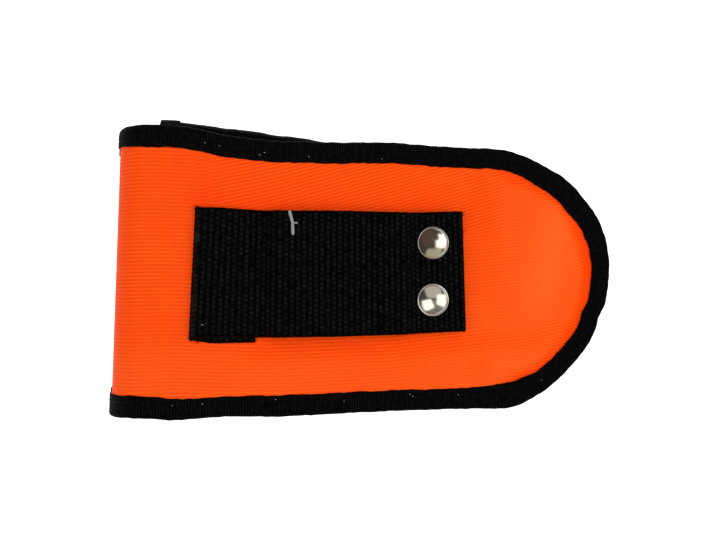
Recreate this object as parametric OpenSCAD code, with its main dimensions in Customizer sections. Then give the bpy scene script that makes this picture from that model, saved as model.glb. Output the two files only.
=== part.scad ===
/* Belt pouch for hand tools: a gusseted pocket with a wrap-over flap and a snap-fastened belt loop.
   It lies on its flap with the back up: X runs from the fold to the rounded tip, Z is up. */

/* [Pouch] */
// Overall length, from the outside of the fold to the rounded tip
pouch_l = 213; // [195:1:235]
// Overall width, over the bound edges
pouch_w = 113; // [104:1:124]
// Thickness of the coated cloth
cloth_t = 1.0; // [0.8:0.1:1.2]
// Radius of the fold over the mouth, to the middle of the cloth
fold_r = 12.3; // [11.5:0.1:14]
// Slope of the back, falling from the fold to the tip, in degrees
back_slope = 2.5; // [2:0.1:3]
// Height of the front panel above the surface that the flap lies on
front_z = 4.2; // [4.2:0.1:5]
// Thickness of the gusset webbing
gusset_t = 1.2; // [1:0.1:1.4]
// How far the gusset's wall stands in from the bound edge
gusset_in = 8.5; // [8.3:0.1:9]

/* [Edge binding] */
// Width of the binding on its outer side
bind_w = 9.2; // [8.8:0.1:10]
// Thickness of the binding tape
bind_t = 0.7; // [0.5:0.1:0.8]
// Distance of the seam from the bound edge
seam_in = 6.3; // [5.5:0.1:7]

/* [Flap] */
// Length of the flap, from the fold's centre line to its rounded end
flap_l = 123; // [112:1:132]
// Length and width of the touch-fastener patches
patch_l = 24; // [20:1:25]
patch_w = 54; // [40:1:55]
// Thickness of each touch-fastener patch
patch_t = 1.0; // [0.8:0.1:1]

/* [Belt loop] */
// Width of the belt-loop webbing
web_w = 51; // [38:1:60]
// Thickness of the belt-loop webbing
web_t = 1.6; // [1.4:0.1:1.8]
// Distance from the fold's centre line to the folded end of the webbing
loop_x = 18; // [15:1:23]
// Length of the belt loop, from its folded end to its snap end
loop_l = 111; // [104:1:118]
// Length of the doubled, sewn-down end
anchor_l = 25; // [23:1:29]
// Room for a belt between the webbing and the back panel
belt_gap = 6; // [5.5:0.1:7]

/* [Snap fasteners] */
// Diameter of the domed cap
cap_d = 13.6; // [12.6:0.1:15]
// Distance between the two snaps
snap_pitch = 23.8; // [20:0.1:28]
// Distance from the snaps to the end of the webbing
snap_in = 14; // [12:0.1:15.5]

/* [Hidden] */
$fn = 96;

seat = 0.05;                                       // air between sewn layers
half_w = pouch_w / 2;
tip_x = pouch_l / 2;
nose_x = tip_x - half_w;                           // centre of the rounded tip
fold_x = -tip_x + fold_r + cloth_t / 2 + seat + bind_t;   // centre line of the fold
flap_z = bind_t + seat + cloth_t / 2;              // middle of the flap's cloth
fold_z = flap_z + fold_r;
flap_nose_x = fold_x + flap_l - half_w;
gusset_x = 3.5;                                    // edge of the pocket's mouth, from the fold's centre line
mouth_x = fold_x + gusset_x;
inner_strip = 7.5;                                 // width of the binding on its hidden side
back_in = fold_r - cloth_t / 2;                    // heights measured in the back's own frame
back_out = fold_r + cloth_t / 2;
back_tip = (tip_x - fold_x - (back_out + seat + bind_t) * sin(back_slope)) / cos(back_slope);
back_nose = back_tip - half_w;                     // centre of the rounded tip in that frame
front_top = front_z + cloth_t;
flange_top = front_top + seat + gusset_t;
hinge_r = 1.11 * fold_r;                           // the fold unrolls about two axes just outside it
hinge_a = 135;
hinge_b = 225;
hinge_gap = 0.7;                                   // half the gap at a hinge line, in degrees
thread_h = 0.25;
thread_w = 0.6;
snap_stack = 3.4;                                  // height of the webbing over the panel at the snaps
snap_x = loop_x + loop_l - snap_in;
fold_h = web_t + seat;                             // height of the upper webbing layer when sewn down
rise_l = 8;                                        // length over which the webbing rises or falls
fall_in = snap_in + cap_d / 2 - 0.3 + rise_l;      // where it starts to fall, from its snap end
shank_r = 1.4;
hole_r = 1.5;
big = 400;

orange = [0.98, 0.30, 0.06];
black = [0.06, 0.06, 0.06];
steel = [0.78, 0.77, 0.73];

// ---- frames and outlines -------------------------------------------------

// The sloping back's own frame: origin on the fold's centre line, X down the slope, Z out of the back.
module on_back() translate([fold_x, 0, fold_z]) rotate([0, back_slope, 0]) children();

module at_fold() translate([fold_x, 0, fold_z]) children();

// The back's frame, with Z measured from the outer face of the back panel.
module on_back_face() on_back() translate([0, 0, back_out]) children();

// Repeats children at the two snaps, in the back-face frame.
module at_snaps() for (side = [-1, 1]) translate([snap_x, side * snap_pitch / 2, 0]) children();

// Plan of a panel with a rounded end, set in from the bound edge by inset, from x0 to the nose.
module plan(inset, x0, nose = nose_x) {
    translate([x0, -half_w + inset]) square([nose - x0, 2 * (half_w - inset)]);
    translate([nose, 0]) circle(r = half_w - inset);
}

// Plan of a band along the bound edge, between two insets, open at x0.
module band(outer, inner, x0, nose = nose_x) difference() {
    plan(outer, x0, nose);
    plan(inner, x0 - 1, nose);
}

// Extrudes a plan between two heights.
module level(z0, z1) translate([0, 0, z0]) linear_extrude(z1 - z0) children();

// Strip wrapped round the Y axis, between two angles and two radii, across the width y0 to y1.
module wrap(r0, r1, a0, a1, y0, y1) translate([0, y1, 0]) rotate([90, 0, 0])
    linear_extrude(y1 - y0) difference() {
        intersection() {
            circle(r = r1);
            polygon([[0, 0], big * [cos(a0), sin(a0)], big * [cos((a0 + a1) / 2), sin((a0 + a1) / 2)],
                     big * [cos(a1), sin(a1)]]);
        }
        circle(r = r0);
    }

// Binding tape folded over one edge of the fold, mirrored to the other edge.
module wrap_binding(a0, a1) for (side = [0, 1]) mirror([0, side, 0]) {
    wrap(back_out + seat, back_out + seat + bind_t, a0, a1, half_w - bind_w, half_w);
    wrap(back_in - seat - bind_t, back_in - seat, a0, a1, half_w - inner_strip, half_w);
    wrap(back_in - seat - bind_t, back_out + seat + bind_t, a0, a1, half_w - bind_t, half_w);
}

module wrap_cloth(a0, a1) wrap(back_in, back_out, a0, a1, -half_w + bind_t + seat, half_w - bind_t - seat);

// ---- pocket --------------------------------------------------------------

module back_panel() color(orange) on_back() difference() {
    union() {
        level(back_in, back_out) plan(bind_t + seat, 0, back_nose);
        wrap_cloth(90, hinge_a - hinge_gap + back_slope);
    }
    translate([0, 0, back_in - 1]) at_snaps() cylinder(r = hole_r, h = cloth_t + 2);
}

module back_binding() color(black) on_back() {
    top = back_out + seat + bind_t;
    base = back_in - 2 * seat - gusset_t - bind_t;
    level(back_out + seat, top) band(0, bind_w, 0, back_nose);
    level(base, base + bind_t) band(0, inner_strip, gusset_x + 1, back_nose);
    level(base, top) band(0, bind_t, gusset_x + 1, back_nose);
    level(back_in - seat - bind_t, top) band(0, bind_t, 0, back_nose);
    wrap_binding(90, hinge_a - hinge_gap + back_slope);
}

module back_seam() color(black) on_back()
    level(back_out + seat + bind_t, back_out + seat + bind_t + thread_h)
        band(seam_in, seam_in + thread_w, 2, back_nose);

// Webbing wall between the back and the front, with its edges turned outwards under both bindings.
module gusset() color(black) {
    lip = gusset_in + gusset_t + 0.4;
    level(front_top + seat, flange_top) band(bind_t + seat, lip, mouth_x);
    on_back() level(back_in - seat - gusset_t, back_in - seat) band(bind_t + seat, lip, gusset_x, back_nose);
    intersection() {
        on_back() translate([0, -big / 2, -big + back_in - seat - gusset_t / 2]) cube([big, big, big]);
        level(front_top + seat + gusset_t / 2, big / 4) band(gusset_in, gusset_in + gusset_t, mouth_x);
    }
}

module front_panel() color(orange) level(front_z, front_top) plan(bind_t + seat, mouth_x);

module front_binding() color(black) {
    level(front_z - seat - bind_t, front_z - seat) band(0, bind_w, mouth_x);
    level(flange_top + seat, flange_top + seat + bind_t) band(0, inner_strip, mouth_x);
    level(front_z - seat - bind_t, flange_top + seat + bind_t) band(0, bind_t, mouth_x);
}

module front_seam() color(black)
    level(front_z - seat - bind_t - thread_h, front_z - seat - bind_t)
        band(seam_in, seam_in + thread_w, mouth_x + 2);

// Tape folded over the front panel's mouth edge, and over the mouth end of each gusset wall.
module mouth_binding() color(black) {
    edge_w = 2 * (half_w - gusset_in - gusset_t - 2 * bind_t);
    tape_x = mouth_x - seat - bind_t;
    translate([tape_x, -edge_w / 2, front_z - seat - bind_t]) difference() {
        cube([bind_w + bind_t, edge_w, cloth_t + 2 * (seat + bind_t)]);
        translate([bind_t, -1, bind_t]) cube([big, edge_w + 2, cloth_t + 2 * seat]);
    }
    wall_y = half_w - gusset_in - gusset_t;
    for (side = [0, 1]) mirror([0, side, 0]) intersection() {
        on_back() translate([-big / 2, 0, -big + back_in - 3 * seat - gusset_t - bind_t]) cube([big, big, big]);
        translate([tape_x, wall_y - bind_t - seat, flange_top + 2 * seat + bind_t]) difference() {
            cube([inner_strip, gusset_t + 2 * (seat + bind_t), big / 4]);
            translate([bind_t, bind_t, -1]) cube([big, gusset_t + 2 * seat, big]);
        }
    }
}

module patch(z) translate([flap_nose_x + 12, -patch_w / 2, z]) cube([patch_l, patch_w, patch_t]);

module loop_patch() color(black) patch(front_z - seat - patch_t);

module stud_patch() color(black) on_back() translate([0, 0, back_in - seat - gusset_t]) difference() {
    translate([snap_x - 12, -web_w / 2 + 2, 0]) cube([24, web_w - 4, gusset_t]);
    translate([0, 0, -1]) at_snaps() cylinder(r = hole_r, h = gusset_t + 2);
}

// ---- flap ----------------------------------------------------------------

module fold_panel() color(orange) at_fold() wrap_cloth(hinge_a + hinge_gap, hinge_b - hinge_gap);

module fold_binding() color(black) at_fold() wrap_binding(hinge_a + hinge_gap, hinge_b - hinge_gap);

module flap_panel() color(orange) {
    level(bind_t + seat, bind_t + seat + cloth_t) plan(bind_t + seat, fold_x, flap_nose_x);
    at_fold() wrap_cloth(hinge_b + hinge_gap, 270);
}

module flap_binding() color(black) {
    top = bind_t + 2 * seat + cloth_t;
    level(0, bind_t) band(0, bind_w, fold_x, flap_nose_x);
    level(top, top + bind_t) band(0, inner_strip, fold_x, flap_nose_x);
    level(0, top + bind_t) band(0, bind_t, fold_x, flap_nose_x);
    at_fold() wrap_binding(hinge_b + hinge_gap, 270);
}

module flap_seam() color(black) {
    top = 2 * bind_t + 2 * seat + cloth_t;
    level(top, top + thread_h) band(seam_in, seam_in + thread_w, fold_x + 1, flap_nose_x);
}

module hook_patch() color(black) patch(bind_t + 2 * seat + cloth_t);

// ---- belt loop -----------------------------------------------------------

// Height of the webbing's underside over the back panel, at a distance u from its folded end.
function ease(t) = (1 - cos(180 * min(1, max(0, t)))) / 2;
function web_h(u) = fold_h + (belt_gap - fold_h) * ease((u - anchor_l - 1) / rise_l)
    - (belt_gap - snap_stack) * ease((u - loop_l + fall_in) / rise_l);

strap_u = [anchor_l + 0.15, anchor_l + 1, for (i = [1 : 8]) anchor_l + 1 + i * rise_l / 8,
           for (i = [0 : 8]) loop_l - fall_in + i * rise_l / 8, loop_l];

module belt_strap() color(black) on_back_face() difference() {
    translate([loop_x, web_w / 2, 0]) rotate([90, 0, 0]) linear_extrude(web_w)
        polygon([for (u = strap_u) [u, web_h(u)],
                 for (i = [len(strap_u) - 1 : -1 : 0]) [strap_u[i], web_h(strap_u[i]) + web_t]]);
    at_snaps() cylinder(r = hole_r, h = 10);
    translate([tag_x + tag_stub, tag_y, 0]) cylinder(r = tag_stub_r + seat, h = 12, $fn = 24);
}

// The sewn-down end: the webbing lies on the panel, turns over at its end and runs back on top of itself.
module strap_anchor() color(black) on_back_face() translate([loop_x, web_w / 2, 0]) rotate([90, 0, 0])
    linear_extrude(web_w) {
        turn_r = web_t + seat / 2;
        translate([turn_r, seat]) square([anchor_l - turn_r, web_t - seat]);
        translate([turn_r, fold_h]) square([anchor_l - 0.15 - turn_r, web_t]);
        difference() {
            translate([turn_r, turn_r + seat / 2]) circle(r = turn_r - seat / 2);
            translate([turn_r, -1]) square([10, 10]);
            translate([turn_r, turn_r + seat / 2]) circle(r = seat / 2);
        }
    }

module anchor_stitching() color(black) on_back_face() translate([loop_x, 0, fold_h + web_t]) {
    x0 = 6;
    x1 = anchor_l - 2;
    y1 = web_w / 2 - 3;
    w = thread_w / 2;
    linear_extrude(thread_h) {
        difference() {
            translate([x0 - w, -y1 - w]) square([x1 - x0 + 2 * w, 2 * (y1 + w)]);
            translate([x0 + w, -y1 + w]) square([x1 - x0 - 2 * w, 2 * (y1 - w)]);
        }
        for (side = [-1, 1]) polygon([[x0 - w, side * y1], [x0 + w, side * y1], [x1 + w, -side * y1],
                                      [x1 - w, -side * y1]]);
    }
}

// ---- snap fasteners ------------------------------------------------------

cap_z = snap_stack + web_t + seat;

module snap_cap() {
    rim_r = 0.5;
    dome_h = 2.5;
    shell = 0.5;
    foot_r = cap_d / 2 - rim_r;
    dome_r = (foot_r * foot_r + dome_h * dome_h) / (2 * dome_h);
    intersection() {
        difference() {
            translate([0, 0, rim_r + dome_h - dome_r]) sphere(r = dome_r);
            translate([0, 0, rim_r + dome_h - dome_r]) sphere(r = dome_r - shell);
        }
        translate([0, 0, rim_r]) cylinder(r = foot_r, h = 10);
    }
    rotate_extrude() translate([foot_r, rim_r]) circle(r = rim_r, $fn = 32);
    difference() {
        union() {
            cylinder(r = foot_r, h = 0.6);
            translate([0, 0, -web_t - 1.25]) cylinder(r = shank_r, h = web_t + 1.5);
            translate([0, 0, -web_t - 0.9]) cylinder(r = 2.2, h = 0.2);
        }
        translate([0, 0, -web_t - 2]) cylinder(r = shank_r - 0.5, h = web_t + 2);
    }
}

module snap_caps() color(steel) on_back_face() at_snaps() translate([0, 0, cap_z]) snap_cap();

module snap_socket() difference() {
    union() {
        translate([0, 0, 1.1]) cylinder(r = 5.4, h = 2.2);
        translate([0, 0, 1.5]) rotate_extrude() translate([5.3, 0]) circle(r = 0.4, $fn = 32);
    }
    translate([0, 0, 1.6]) cylinder(r = 4.2, h = 1.15);
    translate([0, 0, 0]) cylinder(r = 2.85, h = 2);
    cylinder(r = hole_r, h = 5);
}

module snap_sockets() color(steel) on_back_face() at_snaps() snap_socket();

// Split wire ring inside the socket, drawn at the size it spreads to round the stud.
module snap_springs() color(steel) on_back_face() at_snaps() translate([0, 0, 2.05])
    rotate_extrude(angle = 300) translate([3.4, 0]) circle(r = 0.35, $fn = 24);

module snap_stud() difference() {
    union() {
        translate([0, 0, seat]) cylinder(r = 4.8, h = 0.7);
        cylinder(r = 2.45, h = 2.1);
        translate([0, 0, 2]) rotate_extrude() translate([2.35, 0]) circle(r = 0.35, $fn = 32);
    }
    translate([0, 0, -1]) cylinder(r = hole_r, h = 5);
    translate([0, 0, 1.1]) cylinder(r = 1.9, h = 2);
    translate([0, 0, -10 + seat]) cylinder(r = 5, h = 10);
}

module snap_studs() color(steel) on_back_face() at_snaps() snap_stud();

// Flanged tube that clinches each stud to the panel and the patch from inside the pocket.
module snap_post() {
    base = -cloth_t - 2 * seat - gusset_t;
    difference() {
        union() {
            translate([0, 0, base - 0.6]) cylinder(r = 4.6, h = 0.6);
            translate([0, 0, base - 0.3]) cylinder(r = shank_r, h = 1.7 - base);
            translate([0, 0, 1.15]) cylinder(r = 1.8, h = 0.2);
        }
        translate([0, 0, base - 1]) cylinder(r = shank_r - 0.5, h = 6);
    }
}

module snap_posts() color(steel) on_back_face() at_snaps() snap_post();

// ---- leftover tag fastener -----------------------------------------------

tag_x = 56.4;
tag_y = 19.3;
tag_r = 0.6;
tag_stub = 1.9;
tag_stub_r = 0.4;
tag_half = 4.9;
tag_bend = 16;

// Cross-bar of a plastic tag fastener, lying on the webbing, with its cut thread going through it.
module tag_fastener() color([0.62, 0.62, 0.62]) on_back_face() {
    bar_z = belt_gap + web_t + seat + tag_r;
    translate([tag_x, tag_y, bar_z]) {
        translate([0, 0, -0.5]) cylinder(r = 0.8, h = 1);
        rotate([90, 0, 2]) translate([0, 0, 0.2]) cylinder(r = tag_r, h = tag_half);
        rotate([-90, 0, tag_bend]) translate([0, 0, 0.2]) cylinder(r = tag_r, h = tag_half);
        rotate([0, 90, 0]) translate([0, 0, 0.65]) cylinder(r = tag_stub_r - 0.1, h = tag_stub - 0.65);
        translate([tag_stub, 0, -web_t - seat - tag_r]) cylinder(r = tag_stub_r, h = web_t + seat + tag_r + 0.42);
    }
}

back_panel();
back_binding();
back_seam();
gusset();
front_panel();
front_binding();
front_seam();
mouth_binding();
loop_patch();
strap_anchor();
anchor_stitching();
snap_studs();
snap_posts();
stud_patch();
fold_panel();
fold_binding();
flap_panel();
flap_binding();
flap_seam();
hook_patch();
belt_strap();
snap_caps();
snap_sockets();
snap_springs();
tag_fastener();
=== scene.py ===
"""The looks of the belt tool pouch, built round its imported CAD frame."""
import math

import bpy
import numpy as np
from mathutils import Matrix, Vector
from mathutils.geometry import delaunay_2d_cdt

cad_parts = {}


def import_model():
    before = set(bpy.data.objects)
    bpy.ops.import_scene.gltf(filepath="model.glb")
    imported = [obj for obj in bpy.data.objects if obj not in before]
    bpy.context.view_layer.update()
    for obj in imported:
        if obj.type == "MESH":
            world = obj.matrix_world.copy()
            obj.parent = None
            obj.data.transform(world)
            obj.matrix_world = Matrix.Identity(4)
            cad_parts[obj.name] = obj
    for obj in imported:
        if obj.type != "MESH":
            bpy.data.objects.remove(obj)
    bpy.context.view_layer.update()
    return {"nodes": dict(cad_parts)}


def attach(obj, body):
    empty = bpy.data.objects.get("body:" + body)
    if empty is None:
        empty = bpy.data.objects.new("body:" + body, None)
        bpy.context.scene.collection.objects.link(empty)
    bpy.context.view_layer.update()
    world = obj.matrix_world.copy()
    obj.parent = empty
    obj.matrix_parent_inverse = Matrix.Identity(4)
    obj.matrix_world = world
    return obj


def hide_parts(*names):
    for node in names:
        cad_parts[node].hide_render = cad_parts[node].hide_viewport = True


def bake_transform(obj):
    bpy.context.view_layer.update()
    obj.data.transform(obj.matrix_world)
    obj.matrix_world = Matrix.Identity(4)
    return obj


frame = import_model()

# -------------------- sizes, in mm

# These follow the CAD source.
MM = 0.001
HALF_W = 56.5            # half the width over the bound edges
TIP_X = 106.5            # rounded tip
CLOTH = 1.0              # coated cloth
TAPE = 0.7               # binding tape
SEAT = 0.05              # air between sewn layers
WALL = 1.2               # gusset webbing
WALL_IN = 8.5            # the gusset's wall, in from the bound edge
TOP_LEG, LOW_LEG = 9.2, 7.5   # the tape's width on its outer and hidden sides
SEAM_IN = 6.3            # seam, in from the bound edge
FOLD_R, FOLD_X, FOLD_Z = 12.3, -92.95, 13.55
SLOPE = math.radians(2.5)
FLAP_MID, FRONT_MID = 1.25, 4.7   # heights of the middles of those cloths
FLAP_LENGTH = 123
MOUTH = 3.5              # pocket's mouth, along from the fold's centre line
BACK_OUT = FOLD_R + CLOTH / 2
BACK_NOSE = (TIP_X - FOLD_X - (BACK_OUT + SEAT + TAPE) * math.sin(SLOPE)) / math.cos(SLOPE) - HALF_W
FLAP_NOSE = FLAP_LENGTH - HALF_W
FRONT_NOSE = TIP_X - FOLD_X - HALF_W
WEB_W, WEB_T = 51.0, 1.6
LOOP_X, LOOP_L, ANCHOR_L = 18.0, 111.0, 25.0
BELT_GAP, SNAP_STACK, RISE, FALL_IN = 6.0, 3.4, 8.0, 28.5
SNAP_X, SNAP_Y = LOOP_X + LOOP_L - 14.0, 11.9
TAPE_TOP = CLOTH / 2 + SEAT + TAPE                     # the tape's faces, from the middle of the cloth
THIN_LOW = -CLOTH / 2 - SEAT - TAPE
THICK_LOW = -CLOTH / 2 - 2 * SEAT - WALL - TAPE        # where the gusset's edge is in the tape too

# These are of the looks only.
LINE = 1.45              # pitch of the fine lines along the cloth
RIB = 1.05               # pitch of the ribs across the cloth and the tape
COLUMN, BEAD, WEAVE = 2.4, 1.95, 0.36   # the webbing's ribs along it, the beads on a rib, and their height
WEB_STEP = 0.4           # between the webbing's points across it
LEAN = 0.034             # how far the fold leans, for each mm across
SWAY = -3.0              # of the cloth body's middle
PUFF = 1.0               # how much further the soft fold reaches
TUCK = 2.2               # how far its corner at +Y is pulled in
HELD = 7.5               # how far in from its rim a cloth is held by its binding
STITCH = 2.9             # pitch of the seams
BULGE = 14.5             # of the gusset's wall at one side of the mouth
# The wall's share of that bulge, by the length down the front's outline.
BELLY = ((0, 0.89), (12, 0.885), (25, 0.925), (41, 0.915), (58, 0.80), (75, 0.66), (100, 0.40), (140, 0))


# -------------------- small maths

def ease(t):
    """0 below 0, 1 above 1, and smooth between."""
    t = np.clip(t, 0, 1)
    return t * t * (3 - 2 * t)


def bump(t, centre, width):
    return np.exp(-((t - centre) / width) ** 2)


def ripple(t, seed, *waves):
    """A wandering line: the sum of sines given as (wavelength, height), at phases drawn from the seed."""
    draw = np.random.default_rng(seed)
    return sum(h * np.sin(2 * math.pi * (t / w + draw.random())
                          + 1.3 * np.sin(2 * math.pi * (t / (2.7 * w) + draw.random())))
               for w, h in waves)


def unit(v):
    return v / np.maximum(np.linalg.norm(v, axis=-1, keepdims=True), 1e-12)


# -------------------- where each layer lies

def askew(along, across):
    """The cloth body is sewn and lies a little crooked: its fold leans and its middle sways to one side."""
    u = np.maximum(along, 0)
    return ((LEAN * across - PUFF) * (1 - ease(u / 60)),
            SWAY * ease((u - 2) / 55) * (1 - ease((u - 155) / 45)))


def true_place(along, across, out):
    """The back as in the CAD: wraps the fold where along is below 0, then slopes down. out is outwards."""
    turn = np.minimum(along, 0) / FOLD_R
    u = np.maximum(along, 0) + (FOLD_R + out) * np.sin(turn)
    h = (FOLD_R + out) * np.cos(turn)
    return np.stack([FOLD_X + u * math.cos(SLOPE) + h * math.sin(SLOPE), across + 0 * u,
                     FOLD_Z - u * math.sin(SLOPE) + h * math.cos(SLOPE)], axis=-1)


def crooked(points, along, across, tuck=0.0):
    """tuck is how far the corner of the fold is pulled in at the +Y side."""
    dx, dy = askew(along, across)
    dx = dx + tuck * ease((across - 55) / 5) * (1 - ease(along / 14))
    return points + np.stack(np.broadcast_arrays(dx, dy, 0 * points[..., 0]), axis=-1)


def back_place(along, across, out):
    return crooked(true_place(along, across, out), along, across, TUCK)


def flap_place(along, across, out):
    """The flap: wraps the fold from below, then lies flat. out is down."""
    turn = np.minimum(along, 0) / FOLD_R
    flat = np.stack([FOLD_X + np.maximum(along, 0) + (FOLD_R + out) * np.sin(turn), across + 0 * turn,
                     FOLD_Z - (FOLD_R + out) * np.cos(turn)], axis=-1)
    return crooked(flat, along, across, TUCK)


def front_place(along, across, out):
    flat = np.stack([FOLD_X + along, across + 0 * along, FRONT_MID - out + 0 * along], axis=-1)
    return crooked(flat, along, across)


def face_place(u, y, h):
    """The belt loop's frame: the CAD back's, with heights from its outer face."""
    return true_place(np.maximum(u, 0), y, h + CLOTH / 2)


class Layer:
    """A panel with one rounded end. place gives points in space; edge(length) shifts the outline outwards."""

    def __init__(self, place, start, nose, edge):
        self.place, self.start, self.edge = place, start, edge
        self.straight = nose - start
        self.length = 2 * self.straight + math.pi * HALF_W

    def rim(self, s):
        """Along, across, and the inward normal, at lengths s from the +Y side round the tip."""
        turn = np.clip((s - self.straight) / HALF_W, 0, math.pi)
        past = np.maximum(s - self.straight - math.pi * HALF_W, 0)
        a = self.start + np.minimum(s, self.straight) + HALF_W * np.sin(turn) - past
        b = HALF_W * np.cos(turn)
        na, nb = -np.sin(turn), -np.cos(turn)
        out = self.edge(s)
        return a - out * na, b - out * nb, na, nb

    def at(self, s, inset, out):
        """3-D points that far in from the rim and that far out of the cloth's middle."""
        a, b, na, nb = self.rim(s)
        return self.place(a + inset * na, b + inset * nb, out + 0 * s)


BACK_START = -FOLD_R * (math.pi / 2 + SLOPE)
FLAP_START = -FOLD_R * math.pi / 2

# Where the sewn back edge stands in or out of its even line: length down the outline, spread, height.
BACK_WAVES = ((30, 13, 1.7), (60, 14, -0.3), (117, 16, 0.9), (156, 18, -0.1), (190, 13, -1.3),
              (214, 14, -1.3), (232, 20, 0.5), (273, 4, -1.1),
              (300, 12, -0.5), (331, 9, 0.9), (385, 32, -0.5), (470, 14, 2.3))


def back_edge(s):
    mouth = 1.6 * (2 - ease(s / 30) - ease((back.length - s) / 26))
    return mouth + sum(h * bump(s, c, w) for c, w, h in BACK_WAVES) + ripple(s, 3, (13, 0.08), (6.1, 0.07))


def flap_edge(s):
    """Straight where the flap meets the back, and wavering elsewhere."""
    return ease((s - 4) / 20) * ease((flap.length - 4 - s) / 20) * ripple(s, 7, (34, 0.30), (12, 0.15))


def front_edge(s):
    return ripple(s, 11, (29, 0.30), (11, 0.15))


back = Layer(back_place, BACK_START, BACK_NOSE, back_edge)
flap = Layer(flap_place, FLAP_START, FLAP_NOSE, flap_edge)
front = Layer(front_place, MOUTH, FRONT_NOSE, front_edge)


# -------------------- meshes

def add_mesh(name, verts, faces, uv=None, **attributes):
    """A smooth mesh object from points in mm, with a UV for each vertex and float attributes."""
    mesh = bpy.data.meshes.new(name)
    mesh.from_pydata((np.asarray(verts) * MM).tolist(), [], faces)
    if uv is not None:
        loops = np.zeros(len(mesh.loops), np.int32)
        mesh.loops.foreach_get("vertex_index", loops)
        mesh.uv_layers.new(name="UVMap").data.foreach_set("uv", np.asarray(uv, np.float32)[loops].ravel())
    for key, values in attributes.items():
        mesh.attributes.new(key, "FLOAT", "POINT").data.foreach_set("value", np.asarray(values, np.float32))
    mesh.polygons.foreach_set("use_smooth", [True] * len(mesh.polygons))
    mesh.validate()
    obj = bpy.data.objects.new(name, mesh)
    bpy.context.scene.collection.objects.link(obj)
    return obj


def loft(name, rings, uv_along=None, uv_round=None, **attributes):
    """A skin over rings of points, stations x points x 3, with the first and the last ring filled."""
    n, m = rings.shape[:2]
    i = np.arange(n - 1)[:, None]
    j = np.arange(m)[None, :]
    k, r = i + 1, (j + 1) % m
    faces = np.stack([i * m + j, i * m + r, k * m + r, k * m + j], axis=-1).reshape(-1, 4).tolist()
    faces += [list(range(m))[::-1], [(n - 1) * m + q for q in range(m)]]
    along = np.arange(n) if uv_along is None else uv_along
    round_ = np.arange(m) if uv_round is None else uv_round
    uv = np.stack(np.broadcast_arrays(np.asarray(along)[:, None], np.asarray(round_)[None, :]), axis=-1)
    return add_mesh(name, rings.reshape(-1, 3), faces, uv=uv.reshape(-1, 2), **attributes)


def apply_modifiers(obj):
    """Replaces the object's mesh with what its modifiers make of it."""
    graph = bpy.context.evaluated_depsgraph_get()
    mesh = bpy.data.meshes.new_from_object(obj.evaluated_get(graph), depsgraph=graph)
    obj.modifiers.clear()
    obj.data = mesh


def join(name, parts):
    """One object from several meshes, keeping UVs."""
    bpy.ops.object.select_all(action="DESELECT")
    for p in parts:
        p.select_set(True)
    bpy.context.view_layer.objects.active = parts[0]
    bpy.ops.object.join()
    parts[0].name = parts[0].data.name = name
    return parts[0]


# -------------------- materials

class Paint:
    """A node material, built from one Principled shader."""

    def __init__(self, name, color, rough, **sockets):
        self.mat = bpy.data.materials.new(name)
        self.mat.use_nodes = True
        self.tree = self.mat.node_tree
        self.shader = self.tree.nodes["Principled BSDF"]
        self.shader.inputs["Base Color"].default_value = (*color, 1)
        self.shader.inputs["Roughness"].default_value = rough
        for key, value in sockets.items():
            self.shader.inputs[key.replace("_", " ")].default_value = value

    def node(self, kind, *inputs, **settings):
        """A node; an input that is a socket is linked, and any other is set."""
        n = self.tree.nodes.new(kind)
        for key, value in settings.items():
            setattr(n, key, value)
        for i, value in enumerate(inputs):
            if isinstance(value, bpy.types.NodeSocket):
                self.tree.links.new(value, n.inputs[i])
            else:
                n.inputs[i].default_value = value
        return n

    def math(self, operation, *inputs):
        return self.node("ShaderNodeMath", *inputs, operation=operation).outputs[0]

    def uv(self):
        """U and V of the piece, in mm, as two sockets."""
        split = self.node("ShaderNodeSeparateXYZ", self.node("ShaderNodeTexCoord").outputs["UV"])
        return split.outputs[0], split.outputs[1]

    def wave(self, value, pitch):
        """A sine of that pitch, from 0 to 1."""
        turn = self.math("MULTIPLY", value, 2 * math.pi / pitch)
        return self.math("MULTIPLY_ADD", self.math("SINE", turn), 0.5, 0.5)

    def noise(self, scale, detail):
        """Noise in the object's own frame; scale is in cycles a metre."""
        n = self.node("ShaderNodeTexNoise", self.node("ShaderNodeTexCoord").outputs["Object"])
        n.inputs["Scale"].default_value = scale
        n.inputs["Detail"].default_value = detail
        return n.outputs["Fac"]

    def attribute(self, name):
        return self.node("ShaderNodeAttribute", attribute_name=name).outputs["Fac"]

    def color(self, factor, low, high, over=None, share=None):
        """Base colour from low to high by factor, and then towards over by share."""
        mix = self.node("ShaderNodeMix", data_type="RGBA")
        mix.inputs["A"].default_value, mix.inputs["B"].default_value = (*low, 1), (*high, 1)
        self.tree.links.new(factor, mix.inputs["Factor"])
        if over:
            base, mix = mix, self.node("ShaderNodeMix", data_type="RGBA")
            self.tree.links.new(base.outputs["Result"], mix.inputs["A"])
            mix.inputs["B"].default_value = (*over, 1)
            self.tree.links.new(share, mix.inputs["Factor"])
        self.tree.links.new(mix.outputs["Result"], self.shader.inputs["Base Color"])

    def bump(self, height, distance, strength=1.0):
        """distance in mm."""
        b = self.node("ShaderNodeBump")
        b.inputs["Strength"].default_value = strength
        b.inputs["Distance"].default_value = distance * MM
        self.tree.links.new(height, b.inputs["Height"])
        self.tree.links.new(b.outputs["Normal"], self.shader.inputs["Normal"])

    def on(self, obj):
        obj.data.materials.clear()
        obj.data.materials.append(self.mat)
        return obj


ORANGE = (0.91, 0.061, 0.0020)
ORANGE_DEEP = (0.87, 0.044, 0.0008)
ORANGE_PALE = (0.95, 0.094, 0.0052)
# a paler orange, mixed in as painted light where the cloth's shading attribute is above 0
ORANGE_PAINTED_LIGHT = (0.97, 0.150, 0.0300)
STEEP = -0.30            # slope of the lines where they lean


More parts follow.
